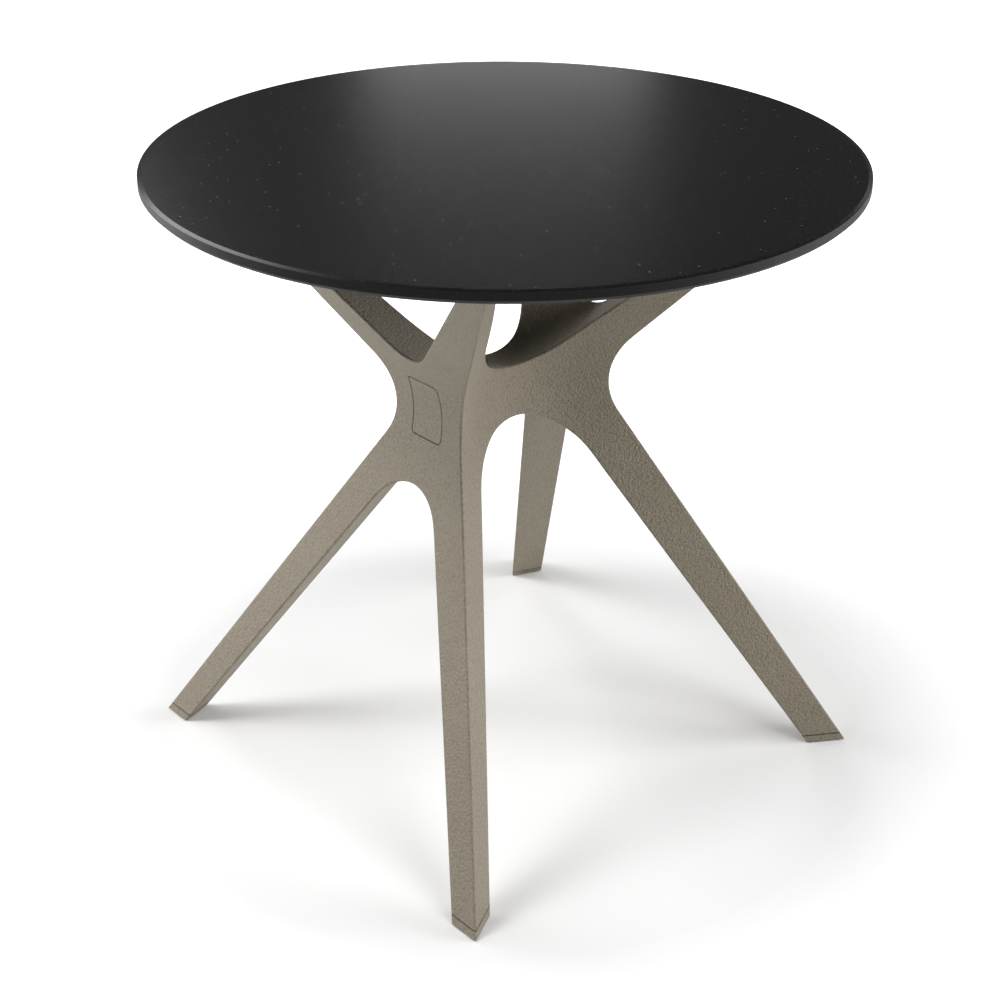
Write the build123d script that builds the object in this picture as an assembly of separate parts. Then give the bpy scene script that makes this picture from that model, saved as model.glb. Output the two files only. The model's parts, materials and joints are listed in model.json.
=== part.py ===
from build123d import *
import os
from math import atan, cos, degrees, exp, sin, sqrt

# Round cafe table: a thin disc top on a one-piece moulded base with four legs and four arms.
# Frame: origin on the floor under the middle of the top, +Z up. The two flat "X" faces of the
# base look along -Y and +Y; the two scooped sides look along -X and +X. Millimetres.

# ---- driving dimensions ----
TABLE_HEIGHT = 740.0
TOP_RADIUS = 400.0
TOP_THICKNESS = 14.5
TOP_EASE_WIDTH = 4.7      # shallow slope round the top face
TOP_EASE_DROP = 1.2
TOP_BEVEL = 4.4           # 45 degree bevel under the edge

FOOT_X, FOOT_Y = 306.0, 302.3      # corner lines at the floor
WAIST_X, WAIST_Y = 41.5, 101.0     # where leg and arm lines would cross, before rounding
ARM_X, ARM_Y = 258.5, 243.0        # corner lines at the underside of the top
WAIST_Z = 470.5
WAIST_RADIUS_X, WAIST_RADIUS_Y = 85.0, 113.0

SCOOP_SLOPE = 0.60        # plan slope of the leg flanks behind the corner lines
SCOOP_SLOPE_RISE = 0.09   # a little steeper where the arms leave the hub
SCOOP_RISE_Z, SCOOP_RISE_SPAN = 550.0, 70.0
SCOOP_RADIUS = 165.0      # hollow in the middle of the scooped sides

# Inner faces of legs and arms: z = peak -/+ slope_x*|x| -/+ slope_y*|y|, rounded over the hub.
VAULT_PEAK, VAULT_SLOPE_X, VAULT_SLOPE_Y = 494.0, 1.329, 0.4785
VAULT_RADIUS_X, VAULT_RADIUS_Y = 70.0, 106.0
BOWL_FLOOR, BOWL_SLOPE_X, BOWL_SLOPE_Y = 468.2, 0.689, 0.427
BOWL_RADIUS_X, BOWL_RADIUS_Y = 53.0, 190.0

EDGE_ROUND = 2.0

PAD_THICKNESS, PAD_RECESS, PAD_INSET = 3.0, 1.5, 3.0
CAP_TOP_Z = 9.6
CAP_GAP = 0.7
CAP_LEDGE = 1.5           # the cap meets the leg inside this border, so the seam shows as a fine groove
SEAM_DEPTH = 2.0
PLUG_LENGTH, PLUG_WALL, PLUG_CLEARANCE = 26.0, 5.5, 0.15
PLUG_ROOT = 1.0           # the plug starts this far inside the cap
SOCKET_SPARE = 3.0        # the socket in the leg is deeper than the plug by this

COVER_WIDTH, COVER_HEIGHT, COVER_THICKNESS = 50.0, 70.0, 3.0
COVER_Z = 470.0
COVER_CORNER = 5.0
COVER_GAP = 0.9
CORE_WIDTH, CORE_HEIGHT, CORE_Z, CORE_END_Y = 30.0, 46.0, 466.0, 52.0
HOOK_LEVELS = (-13.0, 13.0)
HOOK_LENGTH, HOOK_HEIGHT, HOOK_THICKNESS, HOOK_BARB = 13.0, 8.0, 2.0, 1.2
HOOK_ROOT, HOOK_CLEARANCE = 2.0, 0.2
NOTCH_ROOM_X, NOTCH_ROOM_Y, NOTCH_ROOM_Z = 0.4, 2.0, 1.0

BRACKET_THICKNESS, BRACKET_WIDTH, BRACKET_REACH = 3.0, 24.0, 56.0
BRACKET_EDGE, BRACKET_CORNER = 1.5, 6.0
BRACKET_HOLES = (24.0, 46.0)      # distance of the two top screws from the arm screw
ARM_INSERT_RADIUS, ARM_INSERT_LENGTH, ARM_HOLE_SHIFT = 3.2, 8.0, 3.0
TOP_INSERT_RADIUS, TOP_INSERT_LENGTH = 4.2, 9.0
M5_RADIUS, M6_RADIUS, M6_CLEARANCE = 2.5, 3.0, 0.3
HEAD_RADIUS, HEAD_HEIGHT = 5.5, 3.3
HEAD_ROUND = 2.0
HEX_RADIUS, HEX_DEPTH = 2.1, 1.8
THREAD_SPARE = 1.0        # a screw ends this far before the bottom of its insert

UNDERSIDE_Z = TABLE_HEIGHT - TOP_THICKNESS
ARM_END_Z = UNDERSIDE_Z - BRACKET_THICKNESS
GRID_REACH = 330.0
GRID_STEP, LEVEL_STEP = 11.0, 10.0
FIT_TOLERANCE = 0.05
OVERRUN = 5.0             # a cutting shape reaches this far past what it cuts
MARGIN = 1.0
CORNERS = {
    "front_right": (1, -1),
    "front_left": (-1, -1),
    "rear_left": (-1, 1),
    "rear_right": (1, 1),
}


# ---- formulas ----
def bend(t, slope, radius):
    """Height of a V of the given slope at distance t, its bottom rounded to the radius."""
    angle = atan(slope)
    reach = radius * sin(angle)
    if abs(t) >= reach:
        return slope * abs(t)
    return radius / cos(angle) - sqrt(radius ** 2 - t ** 2)


def corner_line(z, foot, waist, arm, radius):
    """Half-spacing of the corner lines at height z: leg line, waist arc, arm line."""
    leg_slope = (foot - waist) / WAIST_Z
    arm_slope = (arm - waist) / (UNDERSIDE_Z - WAIST_Z)
    middle = (arm_slope - leg_slope) / 2
    lean = (arm_slope + leg_slope) / 2
    return waist + middle * (z - WAIST_Z) + bend(z - WAIST_Z, lean, radius)


def half_x(z):
    return corner_line(z, FOOT_X, WAIST_X, ARM_X, WAIST_RADIUS_X)


def half_y(z):
    return corner_line(z, FOOT_Y, WAIST_Y, ARM_Y, WAIST_RADIUS_Y)


def scoop_x(y, z):
    """Scooped side: x at plan position y, passing through the corner lines."""
    slope = SCOOP_SLOPE + SCOOP_SLOPE_RISE * exp(-((z - SCOOP_RISE_Z) / SCOOP_RISE_SPAN) ** 2)
    corner = bend(half_y(z), slope, SCOOP_RADIUS)
    return half_x(z) - corner + bend(y, slope, SCOOP_RADIUS)


def vault_z(x, y):
    """Underside of the hub and inner faces of the legs."""
    drop_x = bend(x, VAULT_SLOPE_X, VAULT_RADIUS_X)
    drop_y = bend(y, VAULT_SLOPE_Y, VAULT_RADIUS_Y)
    return VAULT_PEAK - drop_x - drop_y


def bowl_z(x, y):
    """Top of the hub and inner faces of the arms."""
    rise_x = bend(x, BOWL_SLOPE_X, BOWL_RADIUS_X)
    rise_y = bend(y, BOWL_SLOPE_Y, BOWL_RADIUS_Y)
    return BOWL_FLOOR + rise_x + rise_y


def steps(start, stop, step):
    count = round((stop - start) / step)
    return [start + (stop - start) * i / count for i in range(count + 1)]


def smooth_face(points):
    return Face.make_surface_from_array_of_points(points, tol=FIT_TOLERANCE, min_deg=3, max_deg=5)


def leg_triangle(z):
    """Sharp corners of the leg section at height z, for the +X +Y leg."""
    hx, hy = half_x(z), half_y(z)
    panel = (VAULT_PEAK - z - VAULT_SLOPE_Y * hy) / VAULT_SLOPE_X
    run = VAULT_PEAK - z - VAULT_SLOPE_X * (hx - SCOOP_SLOPE * hy)
    flank_y = run / (VAULT_SLOPE_X * SCOOP_SLOPE + VAULT_SLOPE_Y)
    flank_x = hx - SCOOP_SLOPE * (hy - flank_y)
    return [(hx, hy), (panel, hy), (flank_x, flank_y)]


def placed(shape, sign_x, sign_y):
    """Mirror a shape built at the +X +Y corner to another corner."""
    if sign_x < 0:
        shape = mirror(shape, Plane.YZ)
    if sign_y < 0:
        shape = mirror(shape, Plane.XZ)
    return shape


# ---- base ----
def panel_prism():
    """Full-length solid between the two X faces, curved only with height."""
    levels = steps(-OVERRUN, UNDERSIDE_Z + OVERRUN, LEVEL_STEP)
    right = Spline([(half_y(z), z) for z in levels])
    left = mirror(right, Plane.YZ)
    top = Line(right @ 1, left @ 1)
    bottom = Line(right @ 0, left @ 0)
    profile = make_face(Curve() + [right, left, top, bottom])
    return extrude(Plane.YZ * profile, GRID_REACH, both=True)


def scoop_cut():
    rows = [[(scoop_x(y, z), y, z) for y in steps(-GRID_REACH, GRID_REACH, GRID_STEP)]
            for z in steps(-2 * OVERRUN, TABLE_HEIGHT, GRID_STEP)]
    return extrude(smooth_face(rows), 2 * GRID_REACH, dir=(1, 0, 0))


def hollow_cut(height, direction):
    rows = [[(x, y, height(x, y)) for y in steps(-GRID_REACH, GRID_REACH, GRID_STEP)]
            for x in steps(-GRID_REACH, GRID_REACH, GRID_STEP)]
    return extrude(smooth_face(rows), 3 * GRID_REACH, dir=(0, 0, direction))


def base_body():
    """The whole moulding in one piece, with every long edge rounded."""
    body = panel_prism()
    scoop = scoop_cut()
    body -= scoop
    body -= mirror(scoop, Plane.YZ)
    body -= hollow_cut(vault_z, -1)
    body -= hollow_cut(bowl_z, 1)
    low, high = body.bounding_box().min.Z, body.bounding_box().max.Z
    long_edges = [e for e in body.edges() if low + MARGIN < e.center().Z < high - MARGIN]
    return fillet(long_edges, EDGE_ROUND)


def slab(low, high):
    """Block wider than the table between two heights."""
    width = 2 * (TOP_RADIUS + OVERRUN)
    return Pos(0, 0, (low + high) / 2) * Box(width, width, high - low)


def upright_prism(corners, inset, low, high):
    """Straight prism over a plan triangle, drawn in from its sides by the inset."""
    outline = offset(make_face(Polyline(*corners, close=True)), -inset, kind=Kind.INTERSECTION)
    return extrude(Pos(0, 0, low) * outline, high - low)


def leg_plug(inset, low, length):
    """Prism along the slanting leg, inside its section at height low."""
    outline = offset(make_face(Polyline(*leg_triangle(low), close=True)), -inset, kind=Kind.INTERSECTION)
    lean = Vector((WAIST_X - FOOT_X) / WAIST_Z, (WAIST_Y - FOOT_Y) / WAIST_Z, 1)
    return extrude(Pos(0, 0, low) * outline, length * lean.length, dir=lean.normalized())


def cover_block(gap, prism):
    """Skin of the front X face under the cover, as deep as the cover is thick."""
    skin = prism - Pos(0, COVER_THICKNESS, 0) * prism
    outline = RectangleRounded(COVER_WIDTH + 2 * gap, COVER_HEIGHT + 2 * gap, COVER_CORNER + gap)
    front = Plane(origin=(0, 0, COVER_Z), x_dir=(1, 0, 0), z_dir=(0, -1, 0))
    window = extrude(front * outline, GRID_REACH)
    return skin & window


def core_block():
    """Hollow behind the cover, with a notch in each side wall for the cover's hooks."""
    depth = GRID_REACH - CORE_END_Y
    core = Pos(0, -CORE_END_Y - depth / 2, CORE_Z) * Box(CORE_WIDTH, depth, CORE_HEIGHT)
    notch_y = -(half_y(COVER_Z) - COVER_THICKNESS - HOOK_LENGTH + HOOK_BARB / 2)
    for side in (-1, 1):
        for level in HOOK_LEVELS:
            notch = Box(2 * HOOK_BARB + NOTCH_ROOM_X, HOOK_BARB + NOTCH_ROOM_Y, HOOK_HEIGHT + NOTCH_ROOM_Z)
            core += Pos(side * CORE_WIDTH / 2, notch_y, CORE_Z + level) * notch
    return core


def cover_hook(side, level):
    """Springy strip behind the cover, with a barb that catches in a notch."""
    back_y = -(half_y(COVER_Z) - COVER_THICKNESS) - HOOK_ROOT
    tip_y = back_y + HOOK_ROOT + HOOK_LENGTH
    outer = CORE_WIDTH / 2 - HOOK_CLEARANCE
    inner = outer - HOOK_THICKNESS
    barb = outer + HOOK_BARB
    points = [(inner, back_y), (outer, back_y), (outer, tip_y - 2 * HOOK_BARB),
              (barb, tip_y - HOOK_BARB), (outer, tip_y), (inner, tip_y)]
    profile = make_face(Polyline(*[(side * x, y) for x, y in points], close=True))
    return extrude(Pos(0, 0, CORE_Z + level - HOOK_HEIGHT / 2) * profile, HOOK_HEIGHT)


def cover_plate(prism):
    """Front cover: a thin curved plate flush with the X face, with four hooks behind it."""
    plate = cover_block(0.0, prism)
    for side in (-1, 1):
        for level in HOOK_LEVELS:
            plate += cover_hook(side, level)
    return plate


def arm_triangle():
    """Sharp corners of the arm end, for the +X +Y arm."""
    z = ARM_END_Z
    hx, hy = half_x(z), half_y(z)
    panel = (z - BOWL_FLOOR - BOWL_SLOPE_Y * hy) / BOWL_SLOPE_X
    run = z - BOWL_FLOOR - BOWL_SLOPE_X * (hx - SCOOP_SLOPE * hy)
    flank_y = run / (BOWL_SLOPE_X * SCOOP_SLOPE + BOWL_SLOPE_Y)
    return [(hx, hy), (panel, hy), (hx - SCOOP_SLOPE * (hy - flank_y), flank_y)]


def arm_screw_point():
    corners = arm_triangle()
    middle = Vector(sum(x for x, y in corners) / 3, sum(y for x, y in corners) / 3, 0)
    return middle - middle.normalized() * ARM_HOLE_SHIFT


def bracket_point(distance):
    """Plan point on the bracket, that far inwards from the arm screw."""
    start = arm_screw_point()
    return start - start.normalized() * distance


def base_moulding(body, prism):
    base = body & slab(CAP_TOP_Z, ARM_END_Z)
    pocket = cover_block(COVER_GAP, prism) + core_block()
    base -= pocket
    base -= mirror(pocket, Plane.XZ)
    socket = leg_plug(PLUG_WALL, CAP_TOP_Z - PLUG_ROOT, PLUG_LENGTH + SOCKET_SPARE)
    spot = arm_screw_point()
    depth = ARM_INSERT_LENGTH
    hole = Pos(spot.X, spot.Y, ARM_END_Z - depth / 2) * Cylinder(ARM_INSERT_RADIUS, depth)
    for sign_x, sign_y in CORNERS.values():
        base -= placed(socket, sign_x, sign_y)
        base -= placed(hole, sign_x, sign_y)
    return base


def foot_cap(body):
    """End cap of the +X +Y leg, its plug inside the leg, with a shallow seat for the pad below."""
    quarter = Pos(TOP_RADIUS / 2, TOP_RADIUS / 2, CAP_TOP_Z / 2) * Box(TOP_RADIUS, TOP_RADIUS, 2 * CAP_TOP_Z)
    cap = body & slab(PAD_THICKNESS - PAD_RECESS, CAP_TOP_Z - CAP_GAP) & quarter
    cap += upright_prism(leg_triangle(CAP_TOP_Z), CAP_LEDGE, CAP_TOP_Z - SEAM_DEPTH, CAP_TOP_Z)
    cap += leg_plug(PLUG_WALL + PLUG_CLEARANCE, CAP_TOP_Z - PLUG_ROOT, PLUG_LENGTH)
    return cap - foot_pad()


def foot_pad():
    return upright_prism(leg_triangle(0), PAD_INSET, 0, PAD_THICKNESS)


def table_top():
    """Disc with an eased upper edge and a bevel below, drilled from below for eight inserts."""
    radius, top, under = TOP_RADIUS, TABLE_HEIGHT, UNDERSIDE_Z
    outline = [(0, under), (radius - TOP_BEVEL, under), (radius, under + TOP_BEVEL),
               (radius, top - TOP_EASE_DROP), (radius - TOP_EASE_WIDTH, top), (0, top)]
    disc = revolve(Plane.XZ * make_face(Polyline(*outline, close=True)), Axis.Z)
    for distance in BRACKET_HOLES:
        spot = bracket_point(distance)
        middle = under + TOP_INSERT_LENGTH / 2
        hole = Pos(spot.X, spot.Y, middle) * Cylinder(TOP_INSERT_RADIUS, TOP_INSERT_LENGTH)
        for sign_x, sign_y in CORNERS.values():
            disc -= placed(hole, sign_x, sign_y)
    return disc


def top_bracket():
    """Steel plate on the arm end: a triangle over the arm and a tab towards the middle."""
    plate = upright_prism(arm_triangle(), BRACKET_EDGE, ARM_END_Z, UNDERSIDE_Z)
    start = arm_screw_point()
    middle = bracket_point(BRACKET_REACH / 2)
    turn = degrees(atan(start.Y / start.X))
    tab = extrude(RectangleRounded(BRACKET_REACH, BRACKET_WIDTH, BRACKET_CORNER), BRACKET_THICKNESS)
    plate += Pos(middle.X, middle.Y, ARM_END_Z) * Rot(0, 0, turn) * tab
    plate -= Pos(start.X, start.Y, 0) * countersunk_shape(0.0)
    for distance in BRACKET_HOLES:
        spot = bracket_point(distance)
        plate -= Pos(spot.X, spot.Y, ARM_END_Z) * Cylinder(M6_RADIUS + M6_CLEARANCE, 4 * BRACKET_THICKNESS)
    return plate


def countersunk_shape(shorten):
    """Flush M5 screw, head up, on the axis."""
    head = Pos(0, 0, UNDERSIDE_Z - M5_RADIUS / 2) * Cone(M5_RADIUS, 2 * M5_RADIUS, M5_RADIUS)
    length = BRACKET_THICKNESS + ARM_INSERT_LENGTH - shorten
    return head + Pos(0, 0, UNDERSIDE_Z - length / 2) * Cylinder(M5_RADIUS, length)


def bracket_screw():
    recess = extrude(Pos(0, 0, UNDERSIDE_Z - HEX_DEPTH) * RegularPolygon(HEX_RADIUS, 6), 2 * HEX_DEPTH)
    return countersunk_shape(THREAD_SPARE) - recess


def top_screw():
    """M6 screw from below: a domed head under the bracket, the thread up in the insert."""
    head_low = ARM_END_Z - HEAD_HEIGHT
    length = BRACKET_THICKNESS + TOP_INSERT_LENGTH - THREAD_SPARE
    head = Pos(0, 0, ARM_END_Z - HEAD_HEIGHT / 2) * Cylinder(HEAD_RADIUS, HEAD_HEIGHT)
    rim = head.edges().group_by(Axis.Z)[0]
    head = fillet(rim, HEAD_ROUND)
    screw = head + Pos(0, 0, ARM_END_Z + length / 2) * Cylinder(M6_RADIUS, length)
    return screw - extrude(Pos(0, 0, head_low - HEX_DEPTH) * RegularPolygon(HEX_RADIUS, 6), 2 * HEX_DEPTH)


def sleeve(outer, inner, low, high):
    ring = Cylinder(outer, high - low) - Cylinder(inner, high - low)
    return Pos(0, 0, (low + high) / 2) * ring


def at_corners(shape, distances):
    """Copies of a small round piece at each arm, at the given distances inwards from its arm screw."""
    pieces = []
    for distance in distances:
        spot = bracket_point(distance)
        for sign_x, sign_y in CORNERS.values():
            pieces.append(placed(Pos(spot.X, spot.Y, 0) * shape, sign_x, sign_y))
    return Compound(children=[piece.solids()[0] for piece in pieces])


def save(name, shape):
    export_step(shape, f"parts/{name}.step")


def main():
    os.makedirs("parts", exist_ok=True)
    body = base_body()
    prism = panel_prism()
    save("table_top", table_top())
    save("base_moulding", base_moulding(body, prism))
    cover = cover_plate(prism)
    save("cover_plate_front", cover)
    save("cover_plate_rear", mirror(cover, Plane.XZ))
    cap, pad, bracket = foot_cap(body), foot_pad(), top_bracket()
    for place, (sign_x, sign_y) in CORNERS.items():
        save(f"foot_cap_{place}", placed(cap, sign_x, sign_y))
        save(f"foot_pad_{place}", placed(pad, sign_x, sign_y))
        save(f"top_bracket_{place}", placed(bracket, sign_x, sign_y))
    save("bracket_screws", at_corners(bracket_screw(), [0.0]))
    arm_insert = sleeve(ARM_INSERT_RADIUS, M5_RADIUS, ARM_END_Z - ARM_INSERT_LENGTH, ARM_END_Z)
    save("arm_inserts", at_corners(arm_insert, [0.0]))
    save("top_screws", at_corners(top_screw(), BRACKET_HOLES))
    top_insert = sleeve(TOP_INSERT_RADIUS, M6_RADIUS, UNDERSIDE_Z, UNDERSIDE_Z + TOP_INSERT_LENGTH)
    save("top_inserts", at_corners(top_insert, BRACKET_HOLES))


main()
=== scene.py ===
import json
import math

import bpy
from mathutils import Matrix, Vector


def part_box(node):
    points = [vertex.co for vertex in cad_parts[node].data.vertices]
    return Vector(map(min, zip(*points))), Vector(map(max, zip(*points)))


# Looks of a round cafe table: a dark speckled laminate top on a moulded four-legged base.
# Lengths are metres, angles degrees, light powers watts. Noise and cell scales are per metre.
# The camera's lens and sensor are millimetres.

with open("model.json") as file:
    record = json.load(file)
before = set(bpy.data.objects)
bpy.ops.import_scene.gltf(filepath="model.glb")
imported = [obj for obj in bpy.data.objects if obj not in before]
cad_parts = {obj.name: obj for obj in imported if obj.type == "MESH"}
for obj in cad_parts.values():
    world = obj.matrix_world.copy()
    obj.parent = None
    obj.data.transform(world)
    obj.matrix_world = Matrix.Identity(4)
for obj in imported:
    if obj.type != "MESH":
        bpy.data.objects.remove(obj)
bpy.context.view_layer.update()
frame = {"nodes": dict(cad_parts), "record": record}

# Camera: a stand in front of the table's nearest leg.
CAMERA_PLACE = (1.654, -1.435, 1.442)
CAMERA_HEADING = 49.165
CAMERA_TILT = 27.188
CAMERA_ROLL = 0.19
CAMERA_LENS = 74.33
SENSOR_WIDTH = 36.0

FLOOR_RADIUS, FLOOR_SIDES = 30.0, 96
SWEEP_START, SWEEP_END = 0.45, 1.15      # between these distances the floor fades into the white

# Softboxes that hang round the table's middle and face it:
# azimuth, elevation, distance, side of the square, power.
AIM = Vector((0.0, 0.0, 0.45))
LIGHTS = {
    "left_high": (-115.0, 44.0, 3.0, 1.2, 46.0),
    "left_top": (-131.0, 45.0, 3.0, 1.6, 8.0),
    "left_key": (-131.0, 12.0, 3.0, 1.6, 12.0),
    "left_near": (-150.0, 4.0, 1.6, 0.8, 8.0),
    "right_key": (49.0, 12.0, 3.0, 1.6, 58.0),
    "right_back": (94.0, 12.0, 3.0, 1.6, 20.0),
    "right_front": (4.0, 45.0, 3.0, 1.6, 33.0),
    "back_glow": (139.0, 7.0, 3.5, 0.8, 9.8),
    "edge_glint": (169.0, 36.5, 3.16, 1.05, 13.0),
}
WORLD_FILL = 0.075

# The machined wall of the table top, below its eased edge, is duller than its face, and its colour is
# painted darker as shade.
EASE_DROP = 0.0013         # just past the foot of the ease
RIM_WALL_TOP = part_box("table_top")[1].z - EASE_DROP

# Painted shade darkens the fine seams round the foot caps and the cover plates.
CAP_SEAM_Z = 0.00995
COVER_MIDDLE_Z, COVER_HALF_X, COVER_HALF_Z = 0.470, 0.02545, 0.03545
COVER_CORNER = 0.0055
COVER_DEPTH_Y = 0.090      # the cover plates lie further than this from the middle of the hub
SEAM_SOLID, SEAM_EDGE = 0.00045, 0.00095    # full painted shade out to the first distance, none past the second

# Sockets of the Mix node in its colour mode.
MIX_FIRST, MIX_SECOND, MIX_RESULT = 6, 7, 2


class Shader:
    """A small helper that builds one node material, with the mesh's own coordinates to hand."""

    def __init__(self, name):
        self.material = bpy.data.materials.new(name)
        self.material.use_nodes = True
        self.tree = self.material.node_tree
        self.surface = self.tree.nodes["Principled BSDF"]
        self.place = self.tree.nodes.new("ShaderNodeTexCoord").outputs["Object"]

    def link(self, source, target):
        self.tree.links.new(source, target)

    def fill(self, socket, value):
        """Sets a socket to a number or a colour, or links it to another node's output."""
        if isinstance(value, bpy.types.NodeSocket):
            self.link(value, socket)
        else:
            socket.default_value = value

    def along(self, axis):
        node = self.tree.nodes.new("ShaderNodeSeparateXYZ")
        self.link(self.place, node.inputs["Vector"])
        return node.outputs[axis]

    def noise(self, scale, detail=3.0, rough=0.5):
        node = self.tree.nodes.new("ShaderNodeTexNoise")
        node.inputs["Scale"].default_value = scale
        node.inputs["Detail"].default_value = detail
        node.inputs["Roughness"].default_value = rough
        self.link(self.place, node.inputs["Vector"])
        return node.outputs["Fac"]

    def cells(self, scale, feature="F1", output="Distance"):
        node = self.tree.nodes.new("ShaderNodeTexVoronoi")
        node.feature = feature
        node.inputs["Scale"].default_value = scale
        self.link(self.place, node.inputs["Vector"])
        return node.outputs[output]

    def ramp(self, value, low, high, out_low=0.0, out_high=1.0):
        node = self.tree.nodes.new("ShaderNodeMapRange")
        self.fill(node.inputs["Value"], value)
        node.inputs["From Min"].default_value = low
        node.inputs["From Max"].default_value = high
        node.inputs["To Min"].default_value = out_low
        node.inputs["To Max"].default_value = out_high
        return node.outputs["Result"]

    def math(self, operation, first, second=0.0):
        node = self.tree.nodes.new("ShaderNodeMath")
        node.operation = operation
        self.fill(node.inputs[0], first)
        self.fill(node.inputs[1], second)
        return node.outputs["Value"]

    def past(self, value, middle, reach):
        """How far a coordinate lies beyond a reach either side of a middle, or zero inside it."""
        offset = self.math("ABSOLUTE", self.math("SUBTRACT", value, middle))
        return self.math("MAXIMUM", self.math("SUBTRACT", offset, reach), 0.0)

    def mix(self, share, first, second):
        node = self.tree.nodes.new("ShaderNodeMix")
        node.data_type = "RGBA"
        self.fill(node.inputs["Factor"], share)
        self.fill(node.inputs[MIX_FIRST], first)
        self.fill(node.inputs[MIX_SECOND], second)
        return node.outputs[MIX_RESULT]

    def split(self, colour, channel):
        node = self.tree.nodes.new("ShaderNodeSeparateColor")
        self.link(colour, node.inputs["Color"])
        return node.outputs[channel]

    def bump(self, height, strength, distance):
        node = self.tree.nodes.new("ShaderNodeBump")
        node.inputs["Strength"].default_value = strength
        node.inputs["Distance"].default_value = distance
        self.link(height, node.inputs["Height"])
        self.link(node.outputs["Normal"], self.surface.inputs["Normal"])

    def set(self, **values):
        for name, value in values.items():
            self.fill(self.surface.inputs[name.replace("_", " ")], value)


def rgb(red, green, blue):
    return (red, green, blue, 1.0)


def seam_painted_shade(shader):
    """A mask for painted shade, 1 in the seams of the foot caps and round the cover plates."""
    cap = shader.past(shader.along("Z"), CAP_SEAM_Z, 0.0)
    wide = shader.past(shader.along("X"), 0.0, COVER_HALF_X - COVER_CORNER)
    tall = shader.past(shader.along("Z"), COVER_MIDDLE_Z, COVER_HALF_Z - COVER_CORNER)
    squares = shader.math("ADD", shader.math("POWER", wide, 2.0), shader.math("POWER", tall, 2.0))
    inside = shader.math("LESS_THAN", shader.past(shader.along("Y"), 0.0, 0.0), COVER_DEPTH_Y)
    outline = shader.math("ADD", shader.past(shader.math("SQRT", squares), COVER_CORNER, 0.0), inside)
    nearest = shader.math("MINIMUM", cap, outline)
    return shader.ramp(nearest, low=SEAM_SOLID, high=SEAM_EDGE, out_low=1.0, out_high=0.0)


def moulded_plastic():
    """Taupe moulded plastic with a fine leather grain that catches the light."""
    taupe, taupe_light = rgb(0.276, 0.238, 0.174), rgb(0.302, 0.262, 0.194)
    # The darker tone on the next line and its share below are painted shade for the seams.
    hollow_tone, seam_shade_tone = rgb(0.165, 0.141, 0.101), rgb(0.030, 0.027, 0.022)
    hollow_share, seam_shade_share = 0.62, 0.85
    wrinkle_height, fine_height = 0.9, 0.3
    shader = Shader("base_plastic")
    drift = shader.ramp(shader.noise(scale=9.0, detail=4.0), low=0.3, high=0.7)
    tint = shader.mix(drift, taupe, taupe_light)
    pores = shader.cells(scale=390.0, feature="SMOOTH_F1")
    wrinkles = shader.noise(scale=430.0, detail=3.0, rough=0.6)
    fine = shader.noise(scale=1100.0, detail=2.0, rough=0.6)
    hollows = shader.ramp(pores, low=0.15, high=0.75)
    grained = shader.mix(shader.math("MULTIPLY", hollows, hollow_share), tint, hollow_tone)
    # Painted shade darkens the seams round the foot caps and the cover plates.
    colour = shader.mix(shader.math("MULTIPLY", seam_painted_shade(shader), seam_shade_share), grained, seam_shade_tone)
    shader.set(Base_Color=colour,
               Roughness=shader.ramp(fine, low=0.2, high=0.8, out_low=0.48, out_high=0.60))
    relief = shader.math("SUBTRACT", shader.math("MULTIPLY", wrinkles, wrinkle_height), pores)
    relief = shader.math("ADD", relief, shader.math("MULTIPLY", fine, fine_height))
    shader.bump(relief, strength=0.85, distance=0.0016)
    return shader.material


def laminate():
    """Charcoal high-pressure laminate: satin, faintly mottled, with light flecks and finer dust."""
    ground_dark, ground_light = rgb(0.0030, 0.0030, 0.0028), rgb(0.0130, 0.0128, 0.0121)
    # The second tone on the next line is painted shade for the rim wall.
    fleck_tone, wall_shade_tone = rgb(0.19, 0.187, 0.179), rgb(0.0020, 0.0020, 0.0020)
    fleck_scale, fleck_rarity = 150.0, 0.91
    dust_scale, dust_rarity = 420.0, 0.75
    wall_dullness = 0.32
    shader = Shader("top_laminate")
    mottle = shader.ramp(shader.noise(scale=420.0, detail=4.0, rough=0.65), low=0.35, high=0.72)
    ground = shader.mix(mottle, ground_dark, ground_light)
    draw = shader.split(shader.cells(fleck_scale, output="Color"), "Red")
    dot = shader.ramp(shader.cells(fleck_scale), low=0.09, high=0.155, out_low=1.0, out_high=0.0)
    fleck = shader.math("MULTIPLY", shader.math("GREATER_THAN", draw, fleck_rarity), dot)
    draw = shader.split(shader.cells(dust_scale, output="Color"), "Green")
    dot = shader.ramp(shader.cells(dust_scale), low=0.14, high=0.34, out_low=0.25, out_high=0.0)
    dust = shader.math("MULTIPLY", shader.math("GREATER_THAN", draw, dust_rarity), dot)
    speckled = shader.mix(shader.math("MAXIMUM", fleck, dust), ground, fleck_tone)
    wall = shader.math("LESS_THAN", shader.along("Z"), RIM_WALL_TOP)
    satin = shader.ramp(mottle, low=0.0, high=1.0, out_low=0.19, out_high=0.27)
    # The rim wall's colour is painted darker as shade; its extra roughness is the wall's own dullness.
    shader.set(Base_Color=shader.mix(wall, speckled, wall_shade_tone), Specular_IOR_Level=0.32,
               Roughness=shader.math("ADD", satin, shader.math("MULTIPLY", wall, wall_dullness)))
    shader.bump(shader.noise(scale=700.0, detail=3.0), strength=0.10, distance=0.0002)
    return shader.material


def rubber():
    """Black rubber of the foot pads, slightly dusty."""
    shader = Shader("pad_rubber")
    dust = shader.ramp(shader.noise(scale=60.0, detail=5.0), low=0.45, high=0.75)
    shader.set(Base_Color=shader.mix(dust, rgb(0.018, 0.018, 0.018), rgb(0.050, 0.048, 0.045)),
               Roughness=shader.ramp(dust, low=0.0, high=1.0, out_low=0.62, out_high=0.85))
    shader.bump(shader.noise(scale=1500.0, detail=2.0), strength=0.3, distance=0.0002)
    return shader.material


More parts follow.
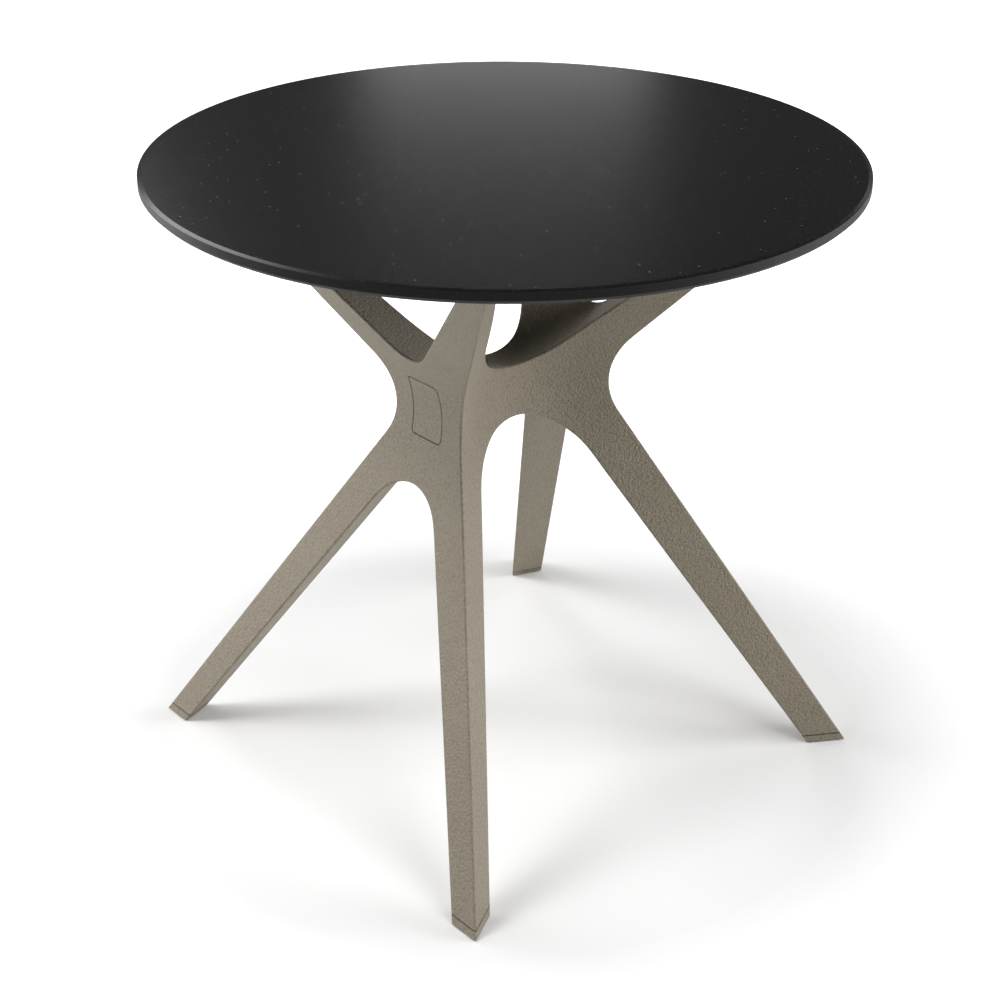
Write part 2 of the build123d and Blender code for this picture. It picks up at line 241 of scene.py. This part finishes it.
def powder_coat():
    """Black powder coat of the brackets under the top."""
    shader = Shader("bracket_steel")
    peel = shader.noise(scale=1100.0, detail=2.0)
    wear = shader.ramp(shader.noise(scale=70.0, detail=5.0, rough=0.7), low=0.62, high=0.80)
    shader.set(Base_Color=shader.mix(wear, rgb(0.022, 0.022, 0.023), rgb(0.060, 0.060, 0.062)),
               Roughness=shader.ramp(peel, low=0.3, high=0.7, out_low=0.42, out_high=0.58))
    shader.bump(peel, strength=0.35, distance=0.0003)
    return shader.material


def zinc_steel():
    """Zinc-plated steel of the screws, brushed and a little cloudy."""
    shader = Shader("screw_steel")
    cloud = shader.ramp(shader.noise(scale=180.0, detail=5.0, rough=0.65), low=0.3, high=0.7)
    shader.set(Base_Color=shader.mix(cloud, rgb(0.46, 0.46, 0.47), rgb(0.62, 0.62, 0.60)), Metallic=1.0,
               Roughness=shader.ramp(cloud, low=0.0, high=1.0, out_low=0.26, out_high=0.42))
    shader.bump(shader.noise(scale=2600.0, detail=2.0), strength=0.15, distance=0.0001)
    return shader.material


def insert_brass():
    """Turned brass of the threaded inserts."""
    shader = Shader("insert_brass")
    tarnish = shader.ramp(shader.noise(scale=260.0, detail=4.0, rough=0.6), low=0.35, high=0.75)
    shader.set(Base_Color=shader.mix(tarnish, rgb(0.72, 0.50, 0.20), rgb(0.45, 0.30, 0.12)), Metallic=1.0,
               Roughness=shader.ramp(tarnish, low=0.0, high=1.0, out_low=0.24, out_high=0.44))
    shader.bump(shader.noise(scale=2200.0, detail=2.0), strength=0.2, distance=0.0001)
    return shader.material


def dress_cad_nodes():
    """Gives every CAD node the material of its slot in the record."""
    makers = {
        "base_plastic": moulded_plastic, "top_laminate": laminate, "pad_rubber": rubber,
        "bracket_steel": powder_coat, "screw_steel": zinc_steel, "insert_brass": insert_brass,
    }
    finishes = {slot: make() for slot, make in makers.items()}
    for part in frame["record"]["subparts"]:
        for slot in frame["nodes"][part["node"]].material_slots:
            slot.material = finishes[part["material_slot"]]


def build_floor():
    """A plain white studio floor, far wider than the view. The camera sees it fade into white."""
    bpy.ops.mesh.primitive_circle_add(vertices=FLOOR_SIDES, radius=FLOOR_RADIUS, fill_type="NGON")
    floor = bpy.context.object
    floor.name = "studio_floor"
    shader = Shader("studio_white")
    away = shader.tree.nodes.new("ShaderNodeVectorMath")
    away.operation = "LENGTH"
    shader.link(shader.place, away.inputs[0])
    seen = shader.tree.nodes.new("ShaderNodeLightPath").outputs["Is Camera Ray"]
    fade = shader.ramp(away.outputs["Value"], SWEEP_START, SWEEP_END)
    shader.set(Base_Color=rgb(0.93, 0.93, 0.93), Roughness=0.9, Emission_Color=rgb(1.0, 1.0, 1.0),
               Emission_Strength=shader.math("MULTIPLY", seen, fade))
    floor.data.materials.append(shader.material)


def build_world():
    """A soft even fill. The camera itself sees plain white."""
    world = bpy.data.worlds.new("studio")
    bpy.context.scene.world = world
    world.use_nodes = True
    tree = world.node_tree
    fill = tree.nodes["Background"]
    fill.inputs["Color"].default_value = rgb(1.0, 1.0, 1.0)
    fill.inputs["Strength"].default_value = WORLD_FILL
    white = tree.nodes.new("ShaderNodeBackground")
    white.inputs["Color"].default_value = rgb(1.0, 1.0, 1.0)
    path = tree.nodes.new("ShaderNodeLightPath")
    choose = tree.nodes.new("ShaderNodeMixShader")
    tree.links.new(path.outputs["Is Camera Ray"], choose.inputs["Fac"])
    tree.links.new(fill.outputs["Background"], choose.inputs[1])
    tree.links.new(white.outputs["Background"], choose.inputs[2])
    tree.links.new(choose.outputs["Shader"], tree.nodes["World Output"].inputs["Surface"])


def build_light(name, azimuth, elevation, distance, size, power):
    """A square softbox that faces the middle of the table."""
    light = bpy.data.lights.new(name, "AREA")
    light.shape = "SQUARE"
    light.size = size
    light.energy = power
    lamp = bpy.data.objects.new(name, light)
    bpy.context.scene.collection.objects.link(lamp)
    turn, lift = math.radians(azimuth), math.radians(elevation)
    away = Vector((math.cos(lift) * math.cos(turn), math.cos(lift) * math.sin(turn), math.sin(lift)))
    lamp.location = AIM + away * distance
    lamp.rotation_euler = away.to_track_quat("Z", "Y").to_euler()
    lamp.visible_camera = False


def build_camera():
    """The one camera, placed by its heading, tilt and roll."""
    camera = bpy.data.cameras.new("camera")
    camera.sensor_width = SENSOR_WIDTH
    camera.lens = CAMERA_LENS
    stand = bpy.data.objects.new("camera", camera)
    bpy.context.scene.collection.objects.link(stand)
    heading = Matrix.Rotation(math.radians(CAMERA_HEADING), 4, "Z")
    tilt = Matrix.Rotation(math.radians(90.0 - CAMERA_TILT), 4, "X")
    roll = Matrix.Rotation(math.radians(CAMERA_ROLL), 4, "Z")
    stand.matrix_world = Matrix.Translation(CAMERA_PLACE) @ heading @ tilt @ roll
    bpy.context.scene.camera = stand


dress_cad_nodes()
build_floor()
build_world()
for name, setup in LIGHTS.items():
    build_light(name, *setup)
build_camera()
bpy.context.scene.view_settings.view_transform = "Standard"
